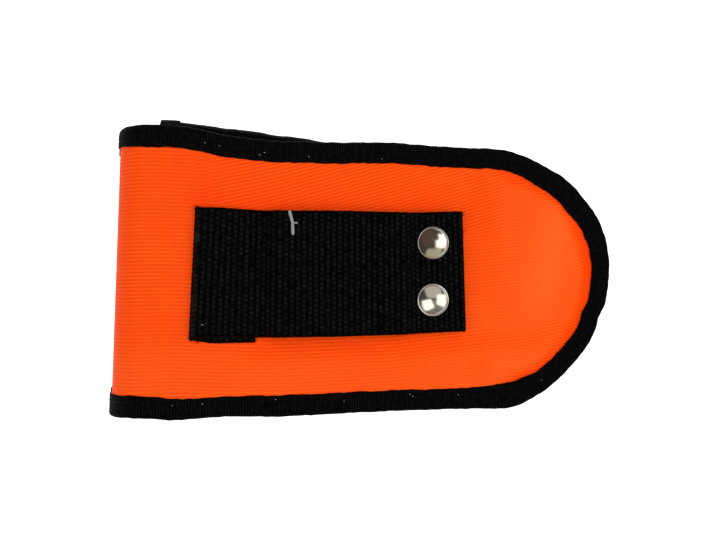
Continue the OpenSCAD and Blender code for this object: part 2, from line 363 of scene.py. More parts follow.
def orange_cloth():
    """Fluorescent coated nylon: fine lines along the cloth and a finer cross weave. The panel's attributes
    say how far the lines have drifted, where they lean, and the painted light and shade on the cloth."""
    p = Paint("orange_cloth", ORANGE, 0.6, Specular_IOR_Level=0.06)
    u, v = p.uv()
    mask, faded = p.attribute("lean"), p.attribute("faded")
    level = p.wave(p.math("SUBTRACT", v, p.attribute("drift")), LINE)
    steep = p.wave(p.math("MULTIPLY_ADD", u, STEEP, v), LINE)
    lines = p.math("MULTIPLY_ADD", p.math("SUBTRACT", steep, level), mask, level)
    cross = p.wave(u, RIB)
    ribs = p.math("MULTIPLY", p.math("SUBTRACT", lines, 0.5), p.math("MULTIPLY_ADD", mask, 0.9, 1.4))
    weave = p.math("MULTIPLY_ADD", ribs, p.noise(60, 3), p.math("MULTIPLY_ADD", cross, 0.25, 0.5))
    tone = p.math("MULTIPLY_ADD", p.noise(30, 3), 0.4, p.math("ADD", weave, -0.30))
    # Painted light and shade: the shading attribute makes the tone lighter or darker, and where it is above 0
    # it mixes in the paler orange.
    p.color(p.math("MULTIPLY_ADD", faded, 0.5, tone), ORANGE_DEEP, ORANGE_PALE,
            ORANGE_PAINTED_LIGHT, p.math("MULTIPLY", faded, 0.45))
    p.bump(weave, 0.09)
    return p


def binding_tape():
    """Grosgrain: close ribs across the tape."""
    p = Paint("binding_tape", (0.0016, 0.0017, 0.0017), 0.7, Specular_IOR_Level=0.03)
    u, _ = p.uv()
    rib = p.wave(u, RIB)
    speck = p.math("MULTIPLY_ADD", p.noise(700, 3), 2.4, -0.6)
    p.color(p.math("MULTIPLY", rib, speck), (0.0005, 0.0005, 0.0005), (0.0068, 0.0069, 0.0067))
    p.bump(rib, 0.16)
    return p


def webbing(name, modelled):
    """Heavy nylon, with a painted highlight on each bead's top and painted shade between the beads. modelled
    says that the mesh has them, with their height.
    """
    p = Paint(name, (0.0018, 0.0018, 0.0018), 0.5, Specular_IOR_Level=0.06 if modelled else 0.015)
    u, v = p.uv()
    if modelled:
        high = p.attribute("high")
    else:
        high = p.math("MULTIPLY", p.wave(u, COLUMN), p.wave(v, BEAD))
        p.bump(high, 0.4)
    # noise that makes the painted highlights on the beads uneven
    uneven_highlight = p.math("MULTIPLY_ADD", p.noise(420, 3), 2.6, -0.75)
    shown = p.math("MULTIPLY", p.math("POWER", high, 2.0), uneven_highlight)
    if modelled:    # lighter grey in patches along the fold
        off_fold = p.math("ABSOLUTE", p.math("SUBTRACT", u, ANCHOR_L + 1.5))
        along_fold = p.math("MAXIMUM", p.math("MULTIPLY_ADD", off_fold, -0.45, 1.0), 0.0)
        patchy = p.math("MAXIMUM", p.math("MULTIPLY_ADD", p.noise(110, 2), 4.0, -2.0), 0.0)
        shown = p.math("MULTIPLY_ADD", p.math("MULTIPLY", along_fold, patchy), 1.2, shown)
    # colour from painted shade between the beads to painted highlight on their tops
    p.color(shown, (0.0004, 0.0004, 0.0004),
            (0.0120, 0.0120, 0.0117) if modelled else (0.0020, 0.0020, 0.0020))
    return p


def thread(name, color):
    return Paint(name, color, 0.5, Specular_IOR_Level=0.1)


def nickel():
    """Polished plate with a faint unevenness."""
    p = Paint("nickel_plate", (0.80, 0.775, 0.71), 0.2, Metallic=1.0)
    p.bump(p.noise(170, 2), 0.12, 0.5)
    return p


def touch_fastener():
    p = Paint("touch_fastener", (0.004, 0.004, 0.004), 0.9, Specular_IOR_Level=0.05, Sheen_Weight=0.03)
    p.bump(p.noise(1400, 3), 0.5)
    return p


def tag_nylon():
    p = Paint("tag_nylon", (0.24, 0.24, 0.24), 0.4, Specular_IOR_Level=0.4)
    p.color(p.noise(350, 2), (0.20, 0.20, 0.20), (0.32, 0.32, 0.32))
    return p


CLOTH_PAINT, TAPE_PAINT = orange_cloth(), binding_tape()
BEAD_PAINT, WEB_PAINT = webbing("black_webbing", True), webbing("plain_webbing", False)
BLACK_THREAD = thread("thread", (0.0022, 0.0022, 0.0022))
PALE_THREAD = thread("bobbin_thread", (0.42, 0.40, 0.36))
NICKEL, HOOK_PAINT, TAG_PAINT = nickel(), touch_fastener(), tag_nylon()


def dress(obj, paint, slot, *replaced):
    paint.on(obj)
    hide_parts(*replaced)
    return obj


# -------------------- pieces at the fold and the flap: their placing is baked into their meshes


def bend_at_fold(obj):
    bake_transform(obj)


def bend_at_flap(obj):
    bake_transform(obj)


# -------------------- cloth panels

def inside(points, ring):
    """Which points lie inside a closed ring, and how far each is from it."""
    a, b = ring, np.roll(ring, -1, axis=0)
    x, y = points[:, :1], points[:, 1:]
    crosses = ((a[:, 1] > y) != (b[:, 1] > y)) & (
        x < (b[:, 0] - a[:, 0]) * (y - a[:, 1]) / (b[:, 1] - a[:, 1] + 1e-12) + a[:, 0])
    d, w = b - a, points[:, None] - a
    t = np.clip((w * d).sum(-1) / np.maximum((d * d).sum(-1), 1e-12), 0, 1)
    return crosses.sum(1) % 2 == 1, np.linalg.norm(w - t[..., None] * d, axis=-1).min(1)


def nowhere(a, b):
    return 0 * a


def even_drift(a, b):
    return 0.03 * a


def sewn_panel(name, layer, free, step=3.0, swell=0.3, cap=0.5,
               relief=nowhere, drift=even_drift, lean=nowhere, faded=nowhere):
    """A cloth panel on a layer, cut 1 mm smaller. Its middle is cloth-simulated, held all round where the
    binding is sewn on, and moves by cap at most; relief then adds creases. free says which part may move.
    These and the material's three attributes are functions of the lengths along and across."""
    s = np.linspace(0, layer.length, int(layer.length / step))
    a, b, na, nb = layer.rim(s)
    rim = np.c_[a + na, b + nb]
    rim[:, 0] = np.maximum(rim[:, 0], layer.start)
    count = int(2 * HALF_W / step)
    ring = np.vstack([rim, np.linspace(rim[-1], rim[0], count)[1:-1]])
    rows = np.arange(ring[:, 1].min(), ring[:, 1].max(), step * math.sqrt(3) / 2)
    hexes = np.array([(x + (i % 2) * step / 2, y) for i, y in enumerate(rows)
                      for x in np.arange(ring[:, 0].min(), ring[:, 0].max(), step)])
    ok, far = inside(hexes, ring)
    plan = np.vstack([ring, hexes[ok & (far > 0.55 * step)]])
    out = delaunay_2d_cdt([Vector(p) for p in plan], [], [list(range(len(ring)))], 1, 1e-4)
    plan, tris = np.array([tuple(v) for v in out[0]]), [list(f) for f in out[2]]
    flat = layer.place(*plan.T, np.zeros(len(plan)))
    outward = unit(layer.place(*plan.T, np.ones(len(plan))) - flat)
    _, edge = inside(plan, ring)
    slack = ease((edge - HELD) / 5) * free(*plan.T)
    obj = add_mesh(name, flat, tris, uv=plan, drift=drift(*plan.T), lean=lean(*plan.T), faded=faded(*plan.T))
    moved = settle(obj, slack, swell) / MM - flat
    high = np.clip((moved * outward).sum(1), -cap, cap)
    points = flat + outward * (high + relief(*plan.T) * ease((edge - 5) / 6))[:, None]
    obj.data.vertices.foreach_set("co", (points * MM).astype(np.float32).ravel())
    obj.modifiers.new("fine", "SUBSURF").levels = 1
    thick = obj.modifiers.new("thick", "SOLIDIFY")
    thick.thickness, thick.offset = CLOTH * MM, 0
    apply_modifiers(obj)
    obj.data.polygons.foreach_set("use_smooth", [True] * len(obj.data.polygons))
    return obj


def settle(obj, slack, swell):
    """Runs Blender's cloth on the panel, a little too large for its sewn edge; returns its points in m."""
    frames = 24
    held = obj.vertex_groups.new(name="held")
    for i, w in enumerate(1 - slack):
        if w > 0:
            held.add([i], float(w), "REPLACE")
    cloth = obj.modifiers.new("cloth", "CLOTH")
    c = cloth.settings
    c.quality, c.mass = 6, 0.25
    c.tension_stiffness = c.compression_stiffness = 25
    c.shear_stiffness, c.bending_stiffness = 15, 1.2
    c.tension_damping = c.compression_damping = c.shear_damping = 25
    c.air_damping = 5
    c.vertex_group_mass = "held"
    c.shrink_min = -0.006
    c.use_pressure, c.uniform_pressure_force = True, swell
    c.effector_weights.gravity = 0
    cloth.collision_settings.use_collision = False
    cloth.point_cache.frame_start, cloth.point_cache.frame_end = 1, frames
    scene = bpy.context.scene
    for f in range(1, frames + 1):
        scene.frame_set(f)
    graph = bpy.context.evaluated_depsgraph_get()
    points = np.array([v.co for v in obj.evaluated_get(graph).data.vertices], float)
    obj.modifiers.remove(cloth)
    obj.vertex_groups.clear()
    scene.frame_set(1)
    return points


def back_relief(a, b):
    """Crown, the roll-down inside the tip's binding, and the soft dents that the photograph's cloth has."""
    tip = np.hypot(np.maximum(a - BACK_NOSE, 0), b)
    crown = 0.5 * (1 - (b / 50) ** 2) * ease((a - 5) / 20) * ease((SNAP_X + 30 - a) / 20)
    roll = (0.7 * bump(tip, 38, 5) - 0.5 * bump(tip, 45, 4)) * ease((a - BACK_NOSE) / 14)
    shoulder = 0.25 * bump(a, 2.0, 3.0) - 0.3 * bump(a, 8.0, 3.5)
    dents = -0.8 * bump(a, 139, 5) * bump(b, -38, 6) - 0.7 * bump(a, 8, 6) * bump(b, 46, 6)
    crease = -0.35 * bump(a - 0.12 * b, 163, 2.2) * bump(b, -16, 18)
    sway = ripple(a + 0.3 * b, 5, (47, 0.16), (23, 0.10)) * ease((np.abs(b) - 27) / 6)
    under_web = (ease((a - LOOP_X + 4) / 4) * ease((LOOP_X + LOOP_L - a) / 4)
                 * ease((WEB_W / 2 + 2 - np.abs(b)) / 3))
    return (crown + roll + shoulder + dents + crease + sway) * (1 - under_web)


def back_free(a, b):
    """The cloth may move anywhere but round the fold, under the sewn end of the webbing and at the studs."""
    anchor = (ease((a - LOOP_X + 6) / 5) * ease((LOOP_X + ANCHOR_L + 6 - a) / 5)
              * ease((WEB_W / 2 + 5 - np.abs(b)) / 4))
    studs = bump(a, SNAP_X, 11) * ease((WEB_W / 2 + 3 - np.abs(b)) / 6)
    return ease((a - 2) / 12) * (1 - anchor) * (1 - studs)


def back_drift(a, b):
    """How far the cloth's fine lines have wandered across it, more steeply towards the tip."""
    return 0.02 * a + 0.07 * np.maximum(a - 100, 0)


def back_lean(a, b):
    """Where the lines show at a steeper slant: on the +Y side of the belt loop."""
    return ease((a - 8) / 26) * ease((165 - a) / 25) * ease((b - 14) / 10)


def back_faded(a, b):
    """Painted light and shade, lighter above 0: light towards the tip and -Y, painted shadow by the webbing,
    shade at the rim and in dents.
    """
    tip = np.hypot(np.maximum(a - BACK_NOSE, 0), b)
    past_web = ease((a - 105) / 50)
    # painted light: paler towards the tip, towards -Y and in a band inside the tip
    pale = 0.30 * past_web + 0.26 * ease((-b - 24) / 16)
    pale += 0.45 * bump(a - 0.25 * b, 168, 9) * ease((b + 30) / 30)
    # painted shadow beside the webbing, and painted shade in the dents and at the rim
    by_web = 0.8 * bump(b, 28, 7) * ease((a - 12) / 10) * (1 - past_web)
    by_web += 0.4 * bump(b, -28, 4) * ease((a - 30) / 20)
    dents = 0.35 * bump(a, 141, 8) * ease((b + 18) / 20) + 0.5 * bump(a, 139, 6) * bump(b, -40, 8)
    rim = 1.4 * ease((tip - 41) / 6) * ease((a - BACK_NOSE) / 16)
    return pale - (by_web + dents) * (1 - 0.6 * past_web) - rim


back_cloth = sewn_panel("back_cloth", back, back_free, step=2.4, swell=0.5, cap=1.2, relief=back_relief,
                        drift=back_drift, lean=back_lean, faded=back_faded)
dress(back_cloth, CLOTH_PAINT, "orange_cloth", "back_panel")
bend_at_fold(back_cloth)

flap_cloth = sewn_panel("flap_cloth", flap, lambda a, b: ease((a - 4) / 12), swell=0.2)
dress(flap_cloth, CLOTH_PAINT, "orange_cloth", "flap_panel", "fold_panel")
bend_at_flap(flap_cloth)

front_cloth = sewn_panel("front_cloth", front, lambda a, b: ease((a - 12) / 14))
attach(dress(front_cloth, CLOTH_PAINT, "orange_cloth", "front_panel"), "pouch")


# -------------------- binding tape

def tape_rings(layer, s, low, seed, reach):
    """Rings of tape folded over a layer's rim at lengths s. low(s) is how far down its hidden side lies."""
    top, bottom = TAPE_TOP, low(s)
    mid, half = (top + bottom) / 2, (top - bottom) / 2
    inner = reach(s) + ripple(s, seed, (15, 0.09), (5.3, 0.05))
    puff = ripple(s, seed + 1, (21, 0.10), (9, 0.07))
    edge_r, hollow = 1.5, 1.2       # how far in from the rim the folded edge is round, outside and inside
    sewn = SEAM_IN / TOP_LEG        # the seam's share of the top leg
    shape = []
    for share in (1.0, 0.97, 0.85, sewn + 0.05, sewn, sewn - 0.05, 0.45, 0.28):
        sunk = {sewn: 0.16, 1.0: 0.22}.get(share, 0)
        shape.append((inner * share, top - sunk + puff * (1 - abs(2 * share - 1))))
    for deg in (90, 65, 40, 15, -15, -40, -65, -90):
        c, q = math.cos(math.radians(deg)), math.sin(math.radians(deg))
        shape.append((edge_r - edge_r * c, mid + half * q))
    shape += [(LOW_LEG / 2, bottom), (LOW_LEG, bottom + 0.05), (LOW_LEG, bottom + TAPE),
              (hollow, bottom + TAPE), (0.75, mid), (hollow, top - TAPE), (inner, top - TAPE + 0.02)]
    return np.stack([layer.at(s, d, n) for d, n in shape], axis=1)


def even_reach(s):
    return TOP_LEG + ripple(s, 29, (37, 0.3))


def back_reach(s):
    """The back's tape shows more of itself round the tip and most at the lower hip."""
    more = 0.9 * bump(s, 213, 28) + 2.3 * bump(s, 330, 15) + 0.9 * bump(s, 298, 16)
    less = 0.7 * bump(s, 455, 14) + 0.8 * bump(s, 4, 9)
    return 9.0 + more - less


def tape(name, layer, low, seed, step=1.0, reach=even_reach):
    s = np.linspace(0, layer.length, int(layer.length / step))
    return loft(name, tape_rings(layer, s, low, seed, reach), s)


def stitch_row(name, points, outward, size=2.1, thick=0.21):
    """Stitches lying on a surface, a small arched strand of thread between each two neighbouring points."""
    stations, sides = 5, 6
    start, end = points[:-1], points[1:]
    up = outward[:-1]
    across = unit(np.cross(end - start, up))
    span = unit(end - start)
    middle = (start + end) / 2
    sections = []
    for q in np.linspace(-0.5, 0.5, stations):
        rise = 0.20 * math.cos(math.pi * q) - 0.06
        fat = thick * (1.0 if abs(q) < 0.4 else 0.55)
        centre = middle + span * size * q + up * rise
        sections.append(np.stack([centre + across * fat * math.cos(w) + up * fat * math.sin(w)
                                  for w in np.linspace(0, 2 * math.pi, sides + 1)[:-1]], axis=1))
    verts = np.stack(sections, axis=1).reshape(-1, 3)
    faces = []
    for base in range(0, len(verts), stations * sides):
        rings = [[base + i * sides + j for j in range(sides)] for i in range(stations)]
        for low, high in zip(rings[:-1], rings[1:]):
            faces += [[low[j - 1], low[j], high[j], high[j - 1]] for j in (*range(1, sides), 0)]
        faces += [rings[0][::-1], rings[-1]]
    return add_mesh(name, verts, faces, uv=np.zeros((len(verts), 2)))


def seam(name, layer, margin, out, inset=SEAM_IN):
    """A row of stitches along a layer's rim, beginning and ending at a margin from its ends."""
    s = np.arange(margin, layer.length - margin, STITCH)
    inset = inset + ripple(s, 23, (41, 0.12), (11, 0.06))
    points = layer.at(s, inset, out)
    return stitch_row(name, points, unit(layer.at(s, inset, out + 1) - points))


def back_low(s):
    """The back's tape takes in the gusset's edge too, but not where it wraps the fold."""
    a = back.start + np.minimum(s, back.length - s)
    return THIN_LOW + (THICK_LOW - THIN_LOW) * ease((a - 1) / 6)


back_tape = tape("back_binding_tape", back, back_low, 31, reach=back_reach)
dress(back_tape, TAPE_PAINT, "binding_tape", "back_binding")
bend_at_fold(back_tape)
back_stitches = seam("back_seam_stitches", back, 1.5, TAPE_TOP - 0.12)
dress(back_stitches, BLACK_THREAD, "thread", "back_seam")
bend_at_fold(back_stitches)

flap_tape = tape("flap_binding_tape", flap, lambda s: THIN_LOW + 0 * s, 37, step=1.4)
dress(flap_tape, TAPE_PAINT, "binding_tape", "flap_binding", "fold_binding")
bend_at_flap(flap_tape)
flap_stitches = seam("flap_seam_stitches", flap, 22, THIN_LOW - 0.16, inset=6.0)
dress(flap_stitches, BLACK_THREAD, "thread", "flap_seam")
bend_at_flap(flap_stitches)

front_tape = tape("front_binding_tape", front, lambda s: THICK_LOW + 0 * s, 41, step=1.4)
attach(dress(front_tape, TAPE_PAINT, "binding_tape", "front_binding"), "pouch")
front_stitches = seam("front_seam_stitches", front, 2, TAPE_TOP - 0.12)
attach(dress(front_stitches, BLACK_THREAD, "thread", "front_seam"), "pouch")


UPWARDS = np.array([[0.0, 0.0, 1.0]] * 2)     # outward, for the two ends of one stitch on the back


def bobbin_specks():
    """Pale thread from the other side that shows as specks where a stitch pulled through."""
    draw = np.random.default_rng(17)
    places = np.concatenate([draw.uniform(24, 130, 6), back.length - draw.uniform(30, 190, 8)])
    specks = []
    for k, s in enumerate(places):
        pair = back.at(np.array([s, s + 0.9]), SEAM_IN + draw.uniform(-1.2, 1.4), TAPE_TOP + 0.02)
        specks.append(stitch_row(f"speck_{k}", pair, UPWARDS, 0.6, 0.11))
    return join("bobbin_specks", specks)


bend_at_fold(dress(bobbin_specks(), PALE_THREAD, "thread", "back_seam"))


# -------------------- gusset

def stations(step):
    """Matching lengths on the front's and the back's outlines."""
    f = np.linspace(0, front.length, int(front.length / step))
    b0 = MOUTH - back.start
    b = b0 + (back.length - 2 * b0) * f / front.length
    return f, b


def flange(layer, s):
    """The gusset under a layer's rim: its edge, where it leaves the cloth, and the end of its wall."""
    face, half = -CLOTH / 2 - SEAT, WALL / 2
    return (layer.at(s, 1.0, face - half), layer.at(s, WALL_IN - 1.5, face - half),
            layer.at(s, WALL_IN + half, face - 2.2))


def gusset_curve(f, b):
    """Points across the gusset's middle from the front's flange to the back's, stations x points x 3."""
    lo_out, lo_in, lo_turn = flange(front, f)
    hi_out, hi_in, hi_turn = flange(back, b)
    outward = unit(front.at(f, 0, 0) - front.at(f, 1, 0))
    belly = BULGE * np.interp(f, *zip(*BELLY))
    t = np.linspace(0, 1, 11)[:, None, None]
    wall = lo_turn * (1 - t) + hi_turn * t + (belly[:, None] * outward) * np.sin(math.pi * t) ** 0.9
    return np.concatenate([np.stack([lo_out, lo_in]), wall, np.stack([hi_in, hi_out])]).transpose(1, 0, 2)


def thicken(curve, thick):
    """Closed rings round a curve given as stations x points x 3, thick across it."""
    step = np.gradient(curve, axis=1)
    run = np.gradient(curve, axis=0)
    side = unit(np.cross(run, step))
    return np.concatenate([curve + side * thick / 2, (curve - side * thick / 2)[:, ::-1]], axis=1)


f_at, b_at = stations(1.6)
gusset_mid = gusset_curve(f_at, b_at)
gusset_skin = loft("gusset_web", thicken(gusset_mid, WALL), f_at, np.arange(2 * gusset_mid.shape[1]) * 1.5)
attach(dress(gusset_skin, WEB_PAINT, "black_webbing", "gusset"), "pouch")


def edge_tape(name, line, width, gap, seed=61):
    """Tape folded over an edge that faces -X and runs along a polyline, with a gap for what is in it."""
    run = np.concatenate([[0], np.cumsum(np.linalg.norm(np.diff(line, axis=0), axis=1))])
    length = np.linspace(0, run[-1], int(run[-1] / 1.2))
    line = np.stack([np.interp(length, run, line[:, k]) for k in range(3)], axis=1)
    into = np.array([1.0, 0, 0])
    out = unit(np.cross(np.gradient(line, axis=0), into))
    reach = width + ripple(length, seed, (23, 0.3), (9, 0.15))
    top = gap / 2 + TAPE
    shape = [(reach, top - 0.15), (reach * 0.7, top), (reach * 0.4, top)]
    shape += [(TAPE - TAPE * math.cos(q), top * math.sin(q))
              for q in np.radians((90, 60, 30, 0, -30, -60, -90))]
    shape += [(reach * 0.4, -top), (reach, -top + 0.1), (reach, -gap / 2), (TAPE, -gap / 2), (TAPE, gap / 2),
              (reach, gap / 2)]
    rings = np.stack([line + np.multiply.outer(d + 0 * length, into) + (n + 0 * length)[:, None] * out
                      for d, n in shape], axis=1)
    return loft(name, rings, length)


mouth_half = HALF_W - WALL_IN - WALL - 2 * TAPE
mouth_y = np.linspace(-mouth_half, mouth_half, 80)
mouth_line = front_place(MOUTH - SEAT - TAPE + 0 * mouth_y, mouth_y, 0 * mouth_y)
ends = [edge_tape("mouth_tape", mouth_line, 9.5, CLOTH + 2 * SEAT)]
for row in (0, -1):
    end_line = gusset_mid[row][3:-3] - (SEAT + TAPE, 0, 0)
    ends.append(edge_tape(f"gusset_end_{row}", end_line, LOW_LEG, WALL + 2 * SEAT, seed=67 + row))
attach(dress(join("mouth_binding_tape", ends), TAPE_PAINT, "binding_tape", "mouth_binding"), "pouch")


# -------------------- belt webbing

def web_height(u):
    """Height of the webbing's underside over the back, by the distance from its folded end."""
    low = WEB_T + SEAT
    up = (1 - np.cos(math.pi * np.clip((u - ANCHOR_L - 1) / RISE, 0, 1))) / 2
    down = (1 - np.cos(math.pi * np.clip((u - LOOP_L + FALL_IN) / RISE, 0, 1))) / 2
    return low + (BELT_GAP - low) * up - (BELT_GAP - SNAP_STACK) * down


def web_line(step):
    """The webbing's middle line: out along the back, round the fold, and back over itself to the snap end.
    Returns distances from the folded end, heights, and the length run."""
    turn = WEB_T / 2 + SEAT / 2
    under = np.arange(ANCHOR_L - 0.4, turn, -step)
    q = np.linspace(-90, -270, 9)[1:-1]
    u_top = np.arange(turn, LOOP_L, 0.5)
    u = np.concatenate([under, turn + turn * np.cos(np.radians(q)), u_top])
    h = np.concatenate([WEB_T / 2 + SEAT + 0 * under, turn + SEAT + turn * np.sin(np.radians(q)),
                        web_height(u_top) + WEB_T / 2])
    run = np.concatenate([[0], np.cumsum(np.hypot(np.diff(u), np.diff(h)))])
    even = np.arange(0, run[-1], step)
    return np.interp(even, run, u), np.interp(even, run, h), even


def weave_height(run, y, flip):
    """How far the weave stands out: ribs across the webbing, each a row of beads, staggered by turns."""
    column = np.floor(run / COLUMN)
    rib = np.abs(np.sin(math.pi * (run / COLUMN)))
    bead = np.abs(np.sin(math.pi * (y / BEAD + 0.5 * ((column + flip) % 2))))
    return WEAVE * rib ** 0.9 * (0.25 + 0.75 * bead ** 0.9)


def web_rings(u, h, run, shift, half, skew):
    """Rings round the webbing: its top from one edge to the other, then its underside back. Also gives the
    weave's height there, from 0 to 1."""
    u, h, run, shift, half, skew = (v[:, None] for v in (u, h, run, shift, half, skew))
    y = np.linspace(-1, 1, int(WEB_W / WEB_STEP))
    tangent = unit(np.concatenate([np.gradient(u, axis=0), np.gradient(h, axis=0)], axis=-1))
    nu, nh = -tangent[:, 1:], tangent[:, :1]
    edge_r = 0.7
    rings, highs = [], []
    for way in (1, -1):
        yy = y[::way][None, :] * half
        past = np.clip((np.abs(yy) - half + edge_r) / edge_r, 0, 1)
        round_edge = np.sqrt(np.clip(1 - past ** 2, 0.02, 1))
        weave = weave_height(run, yy, way < 0) * ease(half - 0.3 - np.abs(yy))
        highs.append(weave / WEAVE)
        n = way * ((WEB_T / 2 - 0.16) * round_edge + weave)
        rings.append(face_place(u - n * nu + LOOP_X + skew * yy, yy + shift, h - n * nh))
    return np.concatenate(rings, axis=1), np.concatenate(highs, axis=1)


def belt_webbing():
    """The whole webbing, a little crooked: its width, its shift across and its skew change on the way."""
    u, h, run = web_line(0.42)
    over = run - ANCHOR_L          # how far along the upper layer; below 0 on the lower one
    half = WEB_W / 2 + 0.5 * bump(over, 3, 16) + 0.9 * bump(over, 0.6, 1.8) - 0.15
    half = half + ripple(run, 71, (46, 0.10), (2.4, 0.05))
    shift = np.interp(over, (-25, -6, 0, 8, 26, 90, 112), (-3.2, -3.0, -0.6, -0.1, -1.0, -0.8, 0.0))
    shift = np.convolve(np.pad(shift, 12, mode="edge"), np.full(25, 0.04), "valid")
    skew = 0.048 * bump(over, 0, 30) - 0.032 * ease((over - 70) / 40)
    rings, high = web_rings(u, h, run, shift, half, skew)
    return loft("belt_webbing", rings, run, np.arange(rings.shape[1]) * WEB_STEP, high=high.ravel())


belt_web = dress(belt_webbing(), BEAD_PAINT, "black_webbing", "strap_anchor", "belt_strap")
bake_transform(belt_web)


# -------------------- snaps, tag, patches and their stitches

DOME_R, DOME_FOOT, DOME_H = 9.2, 6.25, 3.0     # the dome's sphere, its foot's radius and its height


def snap_cap(name, u, y):
    """A domed cap with a rolled lip, turned round a line that stands on the back's outer face."""
    turn = np.linspace(0, 2 * math.pi, 97)[:-1]
    dome = [(r, DOME_H - DOME_R + math.sqrt(DOME_R ** 2 - r ** 2))
            for r in DOME_FOOT * np.linspace(0.004, 1, 24)]
    lip = [(6.32, 0.42), (6.42, 0.62), (6.58, 0.66), (6.74, 0.52), (6.8, 0.25), (6.7, 0), (5.5, -0.05),
           (0.05, -0.05)]
    base = SNAP_STACK + WEB_T + SEAT + 0 * turn
    return loft(name, np.stack([face_place(u + r * np.cos(turn), y + r * np.sin(turn), base + h)
                                for r, h in dome + lip]))


snaps = {"upper_cap": (SNAP_X, SNAP_Y), "lower_cap": (SNAP_X, -SNAP_Y)}
caps = {name: snap_cap(name, *at) for name, at in snaps.items()}
for cap in caps.values():
    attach(dress(cap, NICKEL, "nickel_plate", "snap_caps"), "belt_loop")
for n in ("snap_studs", "snap_posts", "snap_sockets", "snap_springs"):
    NICKEL.on(frame["nodes"][n])


def strand(name, line, wide, tall, count=10):
    """A small rod along points on the webbing, with an oval section."""
    up = np.array([0.0, 0.0, 1.0])
    side = unit(np.cross(np.gradient(line, axis=0), up))
    turn = np.linspace(0, 2 * math.pi, count + 1)[:-1]
    return loft(name, np.stack([line + side * wide[:, None] * math.cos(q) + up * tall[:, None] * math.sin(q)
                                for q in turn], axis=1))


def tag_bar(u, y, h):
    """The left-over plastic tag fastener: a bent crossbar and the stub of its thread."""
    t = np.linspace(-4.9, 4.9, 15)
    ramp = np.interp(np.abs(t), (0, 0.6, 4.6, 4.9), (0.45, 0.62, 0.68, 0.3))
    bar = face_place(u - 0.26 * np.maximum(t, 0) - 0.03 * np.minimum(t, 0), y + t, h + 0 * t)
    s = np.linspace(0, 2.0, 6)
    stub = face_place(u + s, y + 0 * s, h + 0 * s)
    return join("tag_bar", [strand("tag_a", bar, ramp, 0.7 * ramp),
                            strand("tag_b", stub, 0.34 + 0 * s, 0.3 + 0 * s)])


tag = tag_bar(56.4, 19.3, BELT_GAP + WEB_T + 0.55)
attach(dress(tag, TAG_PAINT, "tag_nylon", "tag_fastener"), "belt_loop")


def anchor_place(u, y, h):
    """The frame of the webbing's sewn end, with heights from just under the top of its beads."""
    return face_place(LOOP_X + u, y, WEB_T + SEAT + WEB_T + 0.12 + h)


def box_stitches(name, x0, x1, y1):
    """A box of stitches on the webbing's sewn end, with its two diagonals."""
    corners = np.array([(x0, -y1), (x1, -y1), (x1, y1), (x0, y1)], float)
    parts = []
    for k, (i, j) in enumerate(((0, 1), (1, 2), (2, 3), (3, 0), (0, 2), (1, 3))):
        p, q = corners[i], corners[j]
        line = p + (q - p) * np.linspace(0, 1, round(np.linalg.norm(q - p) / 3.0) + 1)[:, None]
        at = anchor_place(*line.T, 0.0)
        parts.append(stitch_row(f"{name}_{k}", at, unit(anchor_place(*line.T, 1.0) - at)))
    return join(name, parts)


anchor_stitches = box_stitches("anchor_box_stitches", 6, ANCHOR_L - 2.2, WEB_W / 2 - 3)
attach(dress(anchor_stitches, BLACK_THREAD, "thread", "anchor_stitching"), "pouch")

pulled_at = anchor_place(np.array([3.0, 3.9]), np.array([-21.0, -21.0]), 0.15)
pulled = stitch_row("pulled_stitch", pulled_at, UPWARDS, 0.8, 0.16)
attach(dress(pulled, PALE_THREAD, "thread", "anchor_stitching"), "pouch")


def frays(name, spots, count, seed):
    """Loose fibres at spots on the webbing's edge, each given as (u, y, height, outward u, outward y)."""
    draw = np.random.default_rng(seed)
    parts = []
    s = np.linspace(0, 1, 5)
    taper = 0.13 * (1.1 - s)
    for u, y, h, du, dy in spots:
        for _ in range(count):
            long, turn, curl = draw.uniform(0.9, 2.3), draw.uniform(-0.9, 0.9), draw.uniform(-0.5, 0.5)
            way = math.atan2(dy, du) + turn + curl * s
            off = draw.uniform(-0.9, 0.9)
            line = face_place(u - 0.5 * du + off * dy + long * s * np.cos(way),
                              y - 0.5 * dy - off * du + long * s * np.sin(way),
                              h + 0.3 * s * draw.uniform(-1, 1))
            parts.append(strand(f"{name}_{len(parts)}", line, taper, taper, 6))
    return join(name, parts)


fold_h, end_h = WEB_T + SEAT, SNAP_STACK + WEB_T / 2
fold_corners = ((LOOP_X + 0.9, 25.4, fold_h, -0.6, 0.8), (LOOP_X + 1.2, -27.4, fold_h, -0.7, -0.7))
fold_frays = frays("fold_frays", fold_corners, 8, 91)
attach(dress(fold_frays, BLACK_THREAD, "thread", "anchor_stitching"), "pouch")
cut_end = [(LOOP_X + LOOP_L - 0.4, y, end_h, 1.0, 0.0) for y in (-24.5, -12.0, 3.0, 17.0, 24.5)]
end_frays = frays("end_frays", cut_end, 4, 92)
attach(dress(end_frays, BLACK_THREAD, "thread", "belt_strap"), "belt_loop")


def pad(name, x0, x1, y1, place, thick, relief, step=0.8):
    """A thin pad with soft edges, from -y1 to y1. relief(x, y) is added to its outer face, and place gives
    points by x, y and height."""
    xs, ys = np.linspace(x0, x1, int((x1 - x0) / step)), np.linspace(-y1, y1, int(2 * y1 / step))
    gx, gy = np.meshgrid(xs, ys, indexing="ij")
    edge = np.minimum.reduce([gx - x0, x1 - gx, gy + y1, y1 - gy])
    soft = np.sqrt(np.clip(1 - (1 - np.clip(edge / 0.6, 0, 1)) ** 2, 0.05, 1))
    high = thick * soft + relief(gx, gy) * ease(edge)
    top, low = place(gx, gy, high), place(gx, gy, 0 * high)
    return loft(name, np.concatenate([top, low[:, ::-1]], axis=1), xs, np.concatenate([ys, ys[::-1]]))


def fuzz(seed, height):
    draw = np.random.default_rng(seed)
    return lambda x, y: height * draw.random(x.shape)


